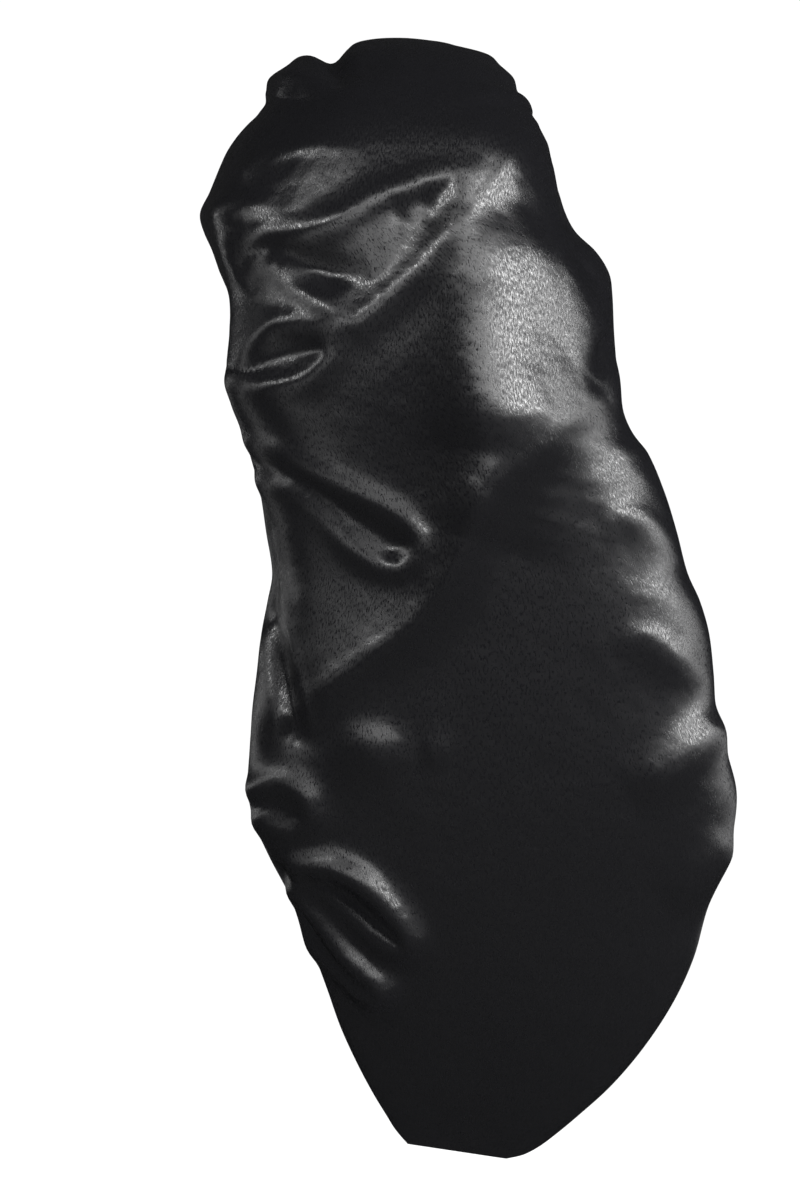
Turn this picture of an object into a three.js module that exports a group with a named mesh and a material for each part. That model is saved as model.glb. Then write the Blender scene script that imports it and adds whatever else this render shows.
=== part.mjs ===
// Sleep bonnet for long hair: a long satin bag sewn from two panels and gathered onto an elastic head band,
// in the form that it takes when it is worn and filled with hair.
// Millimetres, +Z up. The wearer faces -Y and their left is +X. The origin is the centre of the head opening.
import * as THREE from "three";

const SATIN = 1.6; // wall of the satin
const SEWN_GAP = 0.3; // clearance between two pieces that are sewn together

// The head opening is an ellipse round the forehead, the ears and the nape.
const OPENING = { halfWidth: 80, halfLength: 98, tiltDegrees: 31 };
// The band is a turned casing of satin, gathered over flat elastic.
const BAND = { height: 24, thickness: 4, proud: 1.2, gathers: 30, ripple: 0.7 };
// Where the satin is drawn into the band, it stands in gathers that die out along the crown.
const GATHERS = { count: 24, rise: 3.2, reach: 42 };

// Mesh density: rings from the opening to the hem, and spans across each panel.
const RINGS_PER_SECTION = 3;
const BACK_SPANS = 29;
const BACK_SPREAD = 1.2; // above 1, the spans of the back are closer together at the wearer's left
const FRONT_SPANS = 8;

// The bag's sections, from the head opening over the crown and down to the hem. Each is a closed ring whose plane
// holds the X axis: inner and outer are its points [y, z] next to the wearer and furthest from them, half is its half
// width before the outline is applied, share is how far from inner to outer its widest line lies, and square is the
// exponent of its superellipse.
const SECTIONS = [
  { inner: [84, -50], outer: [-84, 50], half: 80, share: 0.5, square: 2.0 },
  { inner: [90, -51], outer: [-97, 73], half: 98, share: 0.5, square: 2.1 },
  { inner: [93, -61], outer: [-107, 108], half: 116, share: 0.49, square: 2.15 },
  { inner: [94, -66], outer: [-101, 144], half: 127, share: 0.49, square: 2.2 },
  { inner: [95, -71], outer: [-80, 176], half: 134, share: 0.48, square: 2.3 },
  { inner: [96, -76], outer: [-42, 198], half: 138, share: 0.47, square: 2.35 },
  { inner: [97, -82], outer: [5, 208], half: 138, share: 0.46, square: 2.4 },
  { inner: [98, -88], outer: [56, 203], half: 138, share: 0.45, square: 2.35 },
  { inner: [99, -95], outer: [101, 186], half: 138, share: 0.44, square: 2.3 },
  { inner: [100, -103], outer: [142, 154], half: 138, share: 0.43, square: 2.25 },
  { inner: [101, -112], outer: [164, 113], half: 138, share: 0.42, square: 2.2 },
  { inner: [102, -124], outer: [177, 64], half: 138, share: 0.41, square: 2.2 },
  { inner: [103, -140], outer: [184, 10], half: 138, share: 0.4, square: 2.2 },
  { inner: [104, -162], outer: [188, -42], half: 138, share: 0.4, square: 2.2 },
  { inner: [105, -192], outer: [191, -95], half: 138, share: 0.4, square: 2.2 },
  { inner: [106, -230], outer: [193, -150], half: 138, share: 0.4, square: 2.2 },
  { inner: [107, -274], outer: [194, -207], half: 138, share: 0.4, square: 2.2 },
  { inner: [108, -320], outer: [193, -265], half: 138, share: 0.4, square: 2.2 },
  { inner: [109, -364], outer: [188, -323], half: 138, share: 0.41, square: 2.2 },
  { inner: [110, -407], outer: [179, -379], half: 138, share: 0.42, square: 2.2 },
  { inner: [112, -449], outer: [166, -433], half: 138, share: 0.44, square: 2.2 },
  { inner: [114, -490], outer: [146, -483], half: 138, share: 0.46, square: 2.3 },
  { inner: [115, -517], outer: [129, -516], half: 138, share: 0.5, square: 3.4 },
  { inner: [116, -527], outer: [124, -527], half: 138, share: 0.5, square: 4.5 },
];

// The outline seen from behind: how far the bag reaches to the wearer's left and right at each height.
const OUTLINE = [
  { z: -527, left: -5, right: -70 },
  { z: -523, left: -1, right: -81 },
  { z: -517, left: 4, right: -91 },
  { z: -509, left: 9, right: -101 },
  { z: -496, left: 17, right: -116 },
  { z: -475, left: 28, right: -139 },
  { z: -450, left: 39, right: -161 },
  { z: -423, left: 48, right: -180 },
  { z: -397, left: 57, right: -193 },
  { z: -370, left: 66, right: -201 },
  { z: -350, left: 77, right: -208 },
  { z: -331, left: 87, right: -215 },
  { z: -310, left: 96, right: -220 },
  { z: -289, left: 100, right: -221 },
  { z: -265, left: 99, right: -215 },
  { z: -239, left: 97, right: -208 },
  { z: -212, left: 94, right: -206 },
  { z: -186, left: 91, right: -203 },
  { z: -165, left: 87, right: -197 },
  { z: -147, left: 84, right: -189 },
  { z: -120, left: 88, right: -182 },
  { z: -94, left: 92, right: -174 },
  { z: -68, left: 99, right: -163 },
  { z: -55, left: 103, right: -153 },
  { z: -38, left: 110, right: -146 },
  { z: -15, left: 113, right: -143 },
  { z: 11, left: 112, right: -141 },
  { z: 38, left: 113, right: -140 },
  { z: 52, left: 119, right: -138 },
  { z: 66, left: 124, right: -129 },
  { z: 78, left: 129, right: -116 },
  { z: 91, left: 131, right: -108 },
  { z: 105, left: 124, right: -103 },
  { z: 130, left: 113, right: -95 },
  { z: 141, left: 107, right: -90 },
  { z: 151, left: 100, right: -86 },
  { z: 158, left: 91, right: -83 },
  { z: 164, left: 85, right: -80 },
  { z: 172, left: 87, right: -76 },
  { z: 181, left: 84, right: -72 },
  { z: 190, left: 72, right: -64 },
  { z: 197, left: 60, right: -55 },
  { z: 203, left: 34, right: -34 },
];
// Above the table, the outline closes as the plain form does.

// The hem slopes down towards the wearer's right.
const HEM_SLOPE = { rise: 0.15, about: -36, from: 18 };

// The folds of the back, as seen from behind. A path [x, z] runs from the wearer's left to their right,
// upwards, or round a loop of cloth. rises gives the fold's height at even steps along the path, below zero
// for a hollow. above and below are the widths of its two flanks, above being the upper flank, the outer one
// of a loop, and the wearer's left of a fold that runs upwards. A fold that runs over the edge of the
// outline is marked over.
const FOLDS = [
  { name: "swag", rises: [5, 6, 9, 13, 18, 20, 13, 0], above: 26, below: 20, over: false,
    path: [[70, -240], [46, -224], [13, -198], [-14, -174], [-33, -148], [-44, -120], [-52, -94],
      [-54, -68]] },
  { name: "spine", rises: [0, 11, 22, 26, 18, 13, 13, 8], above: 28, below: 48, over: false,
    path: [[-46, -124], [-54, -96], [-54, -66], [-51, -38], [-47, 22], [-46, 85], [-54, 128], [-66, 150]] },
  { name: "yoke", rises: [4, 8, 9, 4], above: 50, below: 18, over: false,
    path: [[-58, -94], [-76, -76], [-98, -55], [-128, -28]] },
  { name: "shoulder", rises: [4, 9, 6], above: 30, below: 62, over: false,
    path: [[-58, 150], [-80, 140], [-98, 120]] },
  { name: "mid_back", rises: [4, 7, 6, 3], above: 60, below: 76, over: false,
    path: [[70, 10], [40, 14], [8, 18], [-26, 22]] },
  { name: "tongue", rises: [3, 4, 4.5, 4.5, 4.5, 4.5, 4.5, 4], above: 9, below: 9, over: false,
    path: [[104, -60], [79, -68], [59, -80], [36, -93], [13, -104], [-7, -117], [-13, -131], [-1, -144],
      [17, -140], [34, -127], [53, -106], [72, -92], [93, -86]] },
  { name: "tongue_hollow", rises: [-2, -4, -3], above: 12, below: 12, over: false,
    path: [[92, -74], [62, -92], [34, -110], [8, -126]] },
  { name: "nape", rises: [4, 5, 5, 5, 4.5, 5, 5, 4, 2], above: 9, below: 11, over: false,
    path: [[106, -21], [91, -25], [72, -24], [56, -18], [43, -1], [53, 11], [76, 16], [91, 7], [102, -10]] },
  { name: "nape_hollow", rises: [-2, -3, -2], above: 10, below: 10, over: false,
    path: [[90, -8], [75, -3], [60, 2]] },
  { name: "brow", rises: [3, 4, 4, 3.5, 4.5, 5, 4.5], above: 11, below: 10, over: false,
    path: [[112, 72], [91, 74], [66, 75], [39, 84], [13, 99], [-16, 109], [-36, 110], [-33, 82], [-16, 56],
      [10, 30], [32, 15], [49, 30], [66, 43], [84, 60]] },
  { name: "brow_hollow", rises: [-5, -9, -6, 0], above: 13, below: 13, over: false,
    path: [[80, 58], [58, 52], [38, 50], [20, 56]] },
  { name: "ear_crest", rises: [3, 2.5, 0], above: 12, below: 8, over: false,
    path: [[118, 92], [100, 94], [79, 95]] },
  { name: "crown_step", rises: [4, 5, 2], above: 10, below: 14, over: false,
    path: [[76, 182], [78, 168], [84, 152]] },
  { name: "crown_hollow", rises: [-11, -9, -4], above: 10, below: 10, over: true,
    path: [[47, 208], [46, 196], [42, 184]] },
  { name: "crown_crease", rises: [-4, -3, 0], above: 9, below: 12, over: false,
    path: [[42, 186], [20, 190], [0, 193]] },
  { name: "pocket", rises: [-5, -11, -14, -9], above: 14, below: 6, over: false,
    path: [[93, -122], [88, -160], [79, -202], [70, -236], [70, -250]] },
  { name: "pocket_lip", rises: [1, 5, 6, 4], above: 6, below: 16, over: false,
    path: [[87, -122], [81, -164], [71, -204], [61, -240]] },
  { name: "right_hollow", rises: [-6, -12, -4], above: 11, below: 11, over: false,
    path: [[-112, 76], [-128, 58], [-139, 34]] },
  { name: "right_cleft", rises: [-2, -7, -2], above: 8, below: 8, over: false,
    path: [[-143, 16], [-134, 0], [-128, -20]] },
  { name: "right_swag", rises: [0, 5, 6], above: 16, below: 14, over: false,
    path: [[-152, -296], [-174, -280], [-205, -252]] },
  { name: "right_low_swag", rises: [0, 5, 6], above: 16, below: 14, over: false,
    path: [[-175, -366], [-190, -352], [-210, -332]] },
  { name: "pad", rises: [5, 6, 6, 5, 5], above: 10, below: 8, over: false,
    path: [[93, -289], [76, -285], [61, -296], [59, -309], [72, -316], [89, -309]] },
  { name: "hip_rise", rises: [0, 7, 1], above: 17, below: 22, over: false,
    path: [[46, -250], [20, -262], [-8, -276]] },
  { name: "hip", rises: [8, 11, 11, 9, 8, 8, 6], above: 11, below: 8, over: false,
    path: [[68, -339], [40, -342], [16, -358], [-5, -385], [1, -393], [20, -382], [43, -362], [62, -350]] },
  { name: "hip_cleft", rises: [-6, -6, -1], above: 8, below: 8, over: false,
    path: [[76, -344], [54, -360], [34, -381], [10, -410]] },
  { name: "hem_fold", rises: [6, 10, 12, 11, 9, 7, 4], above: 10, below: 8, over: false,
    path: [[68, -353], [49, -375], [33, -398], [13, -418], [18, -423], [36, -411], [53, -392], [63, -368]] },
  { name: "hem_hollow", rises: [-3, -4, 0], above: 8, below: 12, over: false,
    path: [[52, -404], [36, -425], [18, -448]] },
];
const FOLD_STEPS = 24; // straight steps that a fold's path is measured along

const SATIN_BLACK = { color: 0x0c0c0e, roughness: 0.42, metalness: 0 };

// A smooth curve through a table: the value at `at`, where keys rise steadily.
function through(keys, values, at) {
  const last = keys.length - 1;
  const held = THREE.MathUtils.clamp(at, keys[0], keys[last]);
  let i = 0;
  while (i < last - 1 && held > keys[i + 1]) i++;
  const slope = (k) => {
    const a = Math.max(k - 1, 0);
    const b = Math.min(k + 1, last);
    return (values[b] - values[a]) / (keys[b] - keys[a]);
  };
  const span = keys[i + 1] - keys[i];
  const t = (held - keys[i]) / span;
  const u = 1 - t;
  return (
    values[i] * u * u * (1 + 2 * t) +
    values[i + 1] * t * t * (1 + 2 * u) +
    slope(i) * span * t * u * u -
    slope(i + 1) * span * t * t * u
  );
}

const SECTION_NUMBERS = SECTIONS.map((_, i) => i);
const section = (row, value) => through(SECTION_NUMBERS, SECTIONS.map(value), row);

// The plain form: a point on ring `row` at angle `turn`, 0 at the wearer's left and a quarter turn at the back.
function plain(row, turn) {
  const [innerY, innerZ] = [section(row, (s) => s.inner[0]), section(row, (s) => s.inner[1])];
  const [outerY, outerZ] = [section(row, (s) => s.outer[0]), section(row, (s) => s.outer[1])];
  const share = section(row, (s) => s.share);
  const power = 2 / section(row, (s) => s.square);
  const bend = (value) => Math.sign(value) * Math.abs(value) ** power;
  const reach = Math.sin(turn) > 0 ? 1 - share : share;
  const along = share + reach * bend(Math.sin(turn));
  return new THREE.Vector3(
    section(row, (s) => s.half) * bend(Math.cos(turn)),
    THREE.MathUtils.lerp(innerY, outerY, along),
    THREE.MathUtils.lerp(innerZ, outerZ, along),
  );
}

const LAST_ROW = SECTIONS.length - 1;
const LEVELS = { low: -527, high: 203, count: 73, rings: 84, spans: 48 };

// Half the width of the plain form at even heights, found by walking its meridians.
function plainWidths() {
  const step = (LEVELS.high - LEVELS.low) / LEVELS.count;
  const heights = Array.from({ length: LEVELS.count + 1 }, (_, i) => LEVELS.low + i * step);
  const widths = heights.map(() => 1);
  for (let j = 0; j <= LEVELS.spans; j++) {
    let before = plain(0, (j / LEVELS.spans) * Math.PI);
    for (let i = 1; i <= LEVELS.rings; i++) {
      const after = plain((i / LEVELS.rings) * LAST_ROW, (j / LEVELS.spans) * Math.PI);
      heights.forEach((z, k) => {
        const t = (z - before.z) / (after.z - before.z);
        if (t >= 0 && t <= 1) {
          widths[k] = Math.max(widths[k], Math.abs(THREE.MathUtils.lerp(before.x, after.x, t)));
        }
      });
      before = after;
    }
  }
  return { heights, widths };
}

const PLAIN = plainWidths();
const OUTLINE_HEIGHTS = OUTLINE.map((row) => row.z);
const MOUTH_ROWS = 2.5; // the outline takes hold over this many sections from the head opening

// A point of the bag: the plain form, drawn sideways to the outline, with the hem's slope.
function bag(row, turn) {
  const point = plain(row, turn);
  const z = Math.min(point.z, LEVELS.high);
  const left = through(OUTLINE_HEIGHTS, OUTLINE.map((r) => r.left), z);
  const right = through(OUTLINE_HEIGHTS, OUTLINE.map((r) => r.right), z);
  const stretch = (left - right) / 2 / through(PLAIN.heights, PLAIN.widths, z);
  const hold = THREE.MathUtils.smoothstep(row, 0, MOUTH_ROWS);
  point.x = THREE.MathUtils.lerp(point.x, (left + right) / 2 + point.x * stretch, hold);
  const slope = HEM_SLOPE.rise * THREE.MathUtils.smoothstep(row, HEM_SLOPE.from, LAST_ROW);
  point.z += slope * (point.x - HEM_SLOPE.about);
  return point;
}

const NUDGE = 1e-3;

// The outward normal of the bag at a ring and angle.
function outward(row, turn) {
  const low = Math.max(row - NUDGE, 0);
  const high = Math.min(row + NUDGE, LAST_ROW);
  const down = bag(high, turn).sub(bag(low, turn));
  const round = bag(row, turn + NUDGE).sub(bag(row, turn - NUDGE));
  return down.cross(round).normalize();
}


const LINES = FOLDS.map((fold) => {
  const numbers = fold.path.map((_, i) => i);
  return Array.from({ length: FOLD_STEPS + 1 }, (_, i) => {
    const at = (i / FOLD_STEPS) * (numbers.length - 1);
    const [x, z] = [0, 1].map((axis) => through(numbers, fold.path.map((point) => point[axis]), at));
    return { x, z };
  });
});

// The height that one fold adds at (x, z).
function foldHeight(fold, line, x, z) {
  let nearest = Infinity;
  let side = 0;
  let along = 0;
  for (let i = 0; i < FOLD_STEPS; i++) {
    const [a, b] = [line[i], line[i + 1]];
    const [dx, dz] = [b.x - a.x, b.z - a.z];
    const t = THREE.MathUtils.clamp(((x - a.x) * dx + (z - a.z) * dz) / (dx * dx + dz * dz), 0, 1);
    const [ox, oz] = [x - a.x - t * dx, z - a.z - t * dz];
    const distance = Math.hypot(ox, oz);
    if (distance < nearest) {
      nearest = distance;
      side = (dz * ox - dx * oz) / Math.hypot(dx, dz) / Math.max(distance, 1e-6);
      along = (i + t) / FOLD_STEPS;
    }
  }
  const width = THREE.MathUtils.lerp(fold.below, fold.above, (side + 1) / 2);
  const steps = fold.rises.map((_, i) => i / (fold.rises.length - 1));
  return through(steps, fold.rises, along) * Math.exp(-((nearest / width) ** 2));
}

// How far the cloth stands out from the plain form: folds on the back and crown that leave its outline as it is,
// and gathers round the head opening.
function relief(row, turn, point, normal) {
  const rear = THREE.MathUtils.smoothstep(normal.y, 0, 0.4);
  const folds = FOLDS.reduce((sum, fold, i) => {
    return sum + (fold.over ? 1 : rear) * foldHeight(fold, LINES[i], point.x, point.z);
  }, 0);
  const gather = Math.cos(turn * GATHERS.count) * Math.exp(-((row * 30) / GATHERS.reach)) * Math.min(row, 1);
  return folds * THREE.MathUtils.smoothstep(row, 0.5, 3) + GATHERS.rise * gather;
}

// Half of the clearance at the seams, pointing from the wearer to the back of the bag in the plane of a ring.
function seamStep(row) {
  const y = section(row, (s) => s.outer[0] - s.inner[0]);
  const z = section(row, (s) => s.outer[1] - s.inner[1]);
  return new THREE.Vector3(0, y, z).setLength(SEWN_GAP / 2);
}

// One panel as a closed wall between two grids of points, `spans` wide, from angle `from` to angle `to`.
function panel(from, to, spans, spread) {
  const rings = LAST_ROW * RINGS_PER_SECTION;
  const side = Math.sign(Math.sin((from + to) / 2));
  const points = [];
  const faces = [];
  for (let i = 0; i <= rings; i++) {
    for (let j = 0; j <= spans; j++) {
      const row = i / RINGS_PER_SECTION;
      const turn = THREE.MathUtils.lerp(from, to, (j / spans) ** spread);
      const outside = bag(row, turn);
      const normal = outward(row, turn);
      outside.addScaledVector(normal, relief(row, turn, outside, normal));
      outside.addScaledVector(seamStep(row), side);
      points.push(outside, outside.clone().addScaledVector(normal, -SATIN));
    }
  }
  const at = (i, j, layer) => 2 * (i * (spans + 1) + j) + layer;
  const quad = (a, b, c, d) => faces.push(a, b, c, a, c, d);
  for (let i = 0; i < rings; i++) {
    for (let j = 0; j < spans; j++) {
      quad(at(i, j, 0), at(i + 1, j, 0), at(i + 1, j + 1, 0), at(i, j + 1, 0));
      quad(at(i, j, 1), at(i, j + 1, 1), at(i + 1, j + 1, 1), at(i + 1, j, 1));
    }
    quad(at(i, 0, 0), at(i, 0, 1), at(i + 1, 0, 1), at(i + 1, 0, 0));
    quad(at(i, spans, 0), at(i + 1, spans, 0), at(i + 1, spans, 1), at(i, spans, 1));
  }
  for (let j = 0; j < spans; j++) {
    quad(at(0, j, 0), at(0, j + 1, 0), at(0, j + 1, 1), at(0, j, 1));
    quad(at(rings, j, 0), at(rings, j, 1), at(rings, j + 1, 1), at(rings, j + 1, 0));
  }
  const geometry = new THREE.BufferGeometry().setFromPoints(points);
  geometry.setIndex(faces);
  return geometry;
}

const BAND_STEPS = BAND.gathers * 3;

// The band: a flat oval section carried round the head opening, its outside rippled by the gathers.
function band() {
  const tilt = THREE.MathUtils.degToRad(OPENING.tiltDegrees);
  const forward = new THREE.Vector3(0, -Math.cos(tilt), Math.sin(tilt));
  const up = new THREE.Vector3(0, Math.sin(tilt), Math.cos(tilt));
  const top = -SEWN_GAP;
  const bottom = top - BAND.height;
  const corner = BAND.height / 6;
  const points = [];
  for (let i = 0; i < BAND_STEPS; i++) {
    const turn = (i / BAND_STEPS) * 2 * Math.PI;
    const normal = new THREE.Vector2(Math.cos(turn) / OPENING.halfWidth, Math.sin(turn) / OPENING.halfLength);
    normal.normalize();
    const ripple = BAND.ripple * Math.cos(turn * BAND.gathers);
    const outside = BAND.proud + ripple;
    const inside = BAND.proud - BAND.thickness;
    const middle = (outside + inside) / 2;
    const profile = [
      [middle, top], [inside, top - corner], [inside, bottom + corner],
      [middle, bottom], [outside, bottom + corner], [outside, top - corner],
    ];
    for (const [out, height] of profile) {
      const x = OPENING.halfWidth * Math.cos(turn) + normal.x * out;
      const f = OPENING.halfLength * Math.sin(turn) + normal.y * out;
      points.push(new THREE.Vector3(x, 0, 0).addScaledVector(forward, f).addScaledVector(up, height));
    }
  }
  const corners = points.length / BAND_STEPS;
  const at = (i, k) => (i % BAND_STEPS) * corners + (k % corners);
  const faces = [];
  for (let i = 0; i < BAND_STEPS; i++) {
    for (let k = 0; k < corners; k++) {
      faces.push(at(i, k), at(i, k + 1), at(i + 1, k + 1), at(i, k), at(i + 1, k + 1), at(i + 1, k));
    }
  }
  const geometry = new THREE.BufferGeometry().setFromPoints(points);
  geometry.setIndex(faces);
  return geometry;
}

function satinMesh(name, geometry) {
  geometry.computeVertexNormals();
  const mesh = new THREE.Mesh(geometry, new THREE.MeshStandardMaterial(SATIN_BLACK));
  mesh.name = name;
  return mesh;
}

const bonnet = new THREE.Group();
bonnet.add(satinMesh("back_panel", panel(0, Math.PI, BACK_SPANS, BACK_SPREAD)));
bonnet.add(satinMesh("front_panel", panel(Math.PI, 2 * Math.PI, FRONT_SPANS, 1)));
bonnet.add(satinMesh("head_band", band()));
export default bonnet;
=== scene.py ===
import math

import bpy
import numpy as np
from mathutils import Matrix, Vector


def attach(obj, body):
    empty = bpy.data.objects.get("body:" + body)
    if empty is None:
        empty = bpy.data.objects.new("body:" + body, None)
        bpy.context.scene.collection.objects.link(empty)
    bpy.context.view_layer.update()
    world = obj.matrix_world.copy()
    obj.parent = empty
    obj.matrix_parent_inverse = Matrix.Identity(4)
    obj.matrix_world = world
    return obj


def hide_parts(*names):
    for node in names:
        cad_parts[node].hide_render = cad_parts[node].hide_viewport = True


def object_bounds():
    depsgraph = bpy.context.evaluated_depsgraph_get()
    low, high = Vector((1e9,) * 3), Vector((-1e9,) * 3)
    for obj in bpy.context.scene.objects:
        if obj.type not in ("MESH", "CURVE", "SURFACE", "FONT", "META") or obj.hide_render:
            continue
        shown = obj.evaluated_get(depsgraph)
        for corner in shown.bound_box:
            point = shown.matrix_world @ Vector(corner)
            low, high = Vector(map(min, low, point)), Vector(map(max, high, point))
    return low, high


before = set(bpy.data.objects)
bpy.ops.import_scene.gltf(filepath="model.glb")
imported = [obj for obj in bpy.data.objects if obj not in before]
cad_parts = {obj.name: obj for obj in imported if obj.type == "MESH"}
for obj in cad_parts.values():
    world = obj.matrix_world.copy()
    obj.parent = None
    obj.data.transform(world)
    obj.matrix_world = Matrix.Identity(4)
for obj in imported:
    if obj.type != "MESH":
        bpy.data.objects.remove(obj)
cad_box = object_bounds()


# ---------------------------------------------------------------- outer panel
# The outer panel is one length of black polyester satin, glossy face out. It is gathered into the head band
# at the forehead, passes over the crown and hangs down the back, where the hair inside it draws it into
# soft folds towards the wearer's left. It is sewn to the inner panel along both sides and across the hem.

MM = 0.001  # the sizes below are in millimetres, as the pattern is drawn

# Closed rings from the head opening to the hem. inner and outer are their points [y, z] next to the wearer
# and furthest from them, half is half their width, share is how far out their widest line lies, and square
# is the exponent of their superellipse.
SECTIONS = [
    {"inner": [84, -50], "outer": [-84, 50], "half": 80, "share": 0.5, "square": 2.0},
    {"inner": [90, -51], "outer": [-97, 73], "half": 98, "share": 0.5, "square": 2.1},
    {"inner": [93, -61], "outer": [-107, 108], "half": 116, "share": 0.49, "square": 2.15},
    {"inner": [94, -66], "outer": [-101, 144], "half": 127, "share": 0.49, "square": 2.2},
    {"inner": [95, -71], "outer": [-80, 176], "half": 134, "share": 0.48, "square": 2.3},
    {"inner": [96, -76], "outer": [-42, 198], "half": 138, "share": 0.47, "square": 2.35},
    {"inner": [97, -82], "outer": [5, 208], "half": 138, "share": 0.46, "square": 2.4},
    {"inner": [98, -88], "outer": [56, 203], "half": 138, "share": 0.45, "square": 2.35},
    {"inner": [99, -95], "outer": [101, 186], "half": 138, "share": 0.44, "square": 2.3},
    {"inner": [100, -103], "outer": [142, 154], "half": 138, "share": 0.43, "square": 2.25},
    {"inner": [101, -112], "outer": [164, 113], "half": 138, "share": 0.42, "square": 2.2},
    {"inner": [102, -124], "outer": [177, 64], "half": 138, "share": 0.41, "square": 2.2},
    {"inner": [103, -140], "outer": [184, 10], "half": 138, "share": 0.4, "square": 2.2},
    {"inner": [104, -162], "outer": [188, -42], "half": 138, "share": 0.4, "square": 2.2},
    {"inner": [105, -192], "outer": [191, -95], "half": 138, "share": 0.4, "square": 2.2},
    {"inner": [106, -230], "outer": [193, -150], "half": 138, "share": 0.4, "square": 2.2},
    {"inner": [107, -274], "outer": [194, -207], "half": 138, "share": 0.4, "square": 2.2},
    {"inner": [108, -320], "outer": [193, -265], "half": 138, "share": 0.4, "square": 2.2},
    {"inner": [109, -364], "outer": [188, -323], "half": 138, "share": 0.41, "square": 2.2},
    {"inner": [110, -407], "outer": [179, -379], "half": 138, "share": 0.42, "square": 2.2},
    {"inner": [112, -449], "outer": [166, -433], "half": 138, "share": 0.44, "square": 2.2},
    {"inner": [114, -490], "outer": [146, -483], "half": 138, "share": 0.46, "square": 2.3},
    {"inner": [115, -517], "outer": [129, -516], "half": 138, "share": 0.5, "square": 3.4},
    {"inner": [116, -527], "outer": [124, -527], "half": 138, "share": 0.5, "square": 4.5},
]

OUTLINE = [  # how far the bag reaches to the wearer's left and right at each height
    {"z": -527, "left": -5, "right": -70},
    {"z": -523, "left": -1, "right": -81},
    {"z": -517, "left": 4, "right": -91},
    {"z": -509, "left": 9, "right": -101},
    {"z": -496, "left": 17, "right": -116},
    {"z": -475, "left": 28, "right": -139},
    {"z": -450, "left": 39, "right": -161},
    {"z": -423, "left": 48, "right": -180},
    {"z": -397, "left": 57, "right": -193},
    {"z": -370, "left": 66, "right": -201},
    {"z": -350, "left": 77, "right": -208},
    {"z": -331, "left": 87, "right": -215},
    {"z": -310, "left": 96, "right": -220},
    {"z": -289, "left": 100, "right": -221},
    {"z": -265, "left": 99, "right": -215},
    {"z": -239, "left": 97, "right": -208},
    {"z": -212, "left": 94, "right": -206},
    {"z": -186, "left": 91, "right": -203},
    {"z": -165, "left": 87, "right": -197},
    {"z": -147, "left": 84, "right": -189},
    {"z": -120, "left": 88, "right": -182},
    {"z": -94, "left": 92, "right": -174},
    {"z": -68, "left": 99, "right": -163},
    {"z": -55, "left": 103, "right": -153},
    {"z": -38, "left": 110, "right": -146},
    {"z": -15, "left": 113, "right": -143},
    {"z": 11, "left": 112, "right": -141},
    {"z": 38, "left": 113, "right": -140},
    {"z": 52, "left": 119, "right": -138},
    {"z": 66, "left": 124, "right": -129},
    {"z": 78, "left": 129, "right": -116},
    {"z": 91, "left": 131, "right": -108},
    {"z": 105, "left": 124, "right": -103},
    {"z": 130, "left": 113, "right": -95},
    {"z": 141, "left": 107, "right": -90},
    {"z": 151, "left": 100, "right": -86},
    {"z": 158, "left": 91, "right": -83},
    {"z": 164, "left": 85, "right": -80},
    {"z": 172, "left": 87, "right": -76},
    {"z": 181, "left": 84, "right": -72},
    {"z": 190, "left": 72, "right": -64},
    {"z": 197, "left": 60, "right": -55},
    {"z": 203, "left": 34, "right": -34},
]

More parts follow.
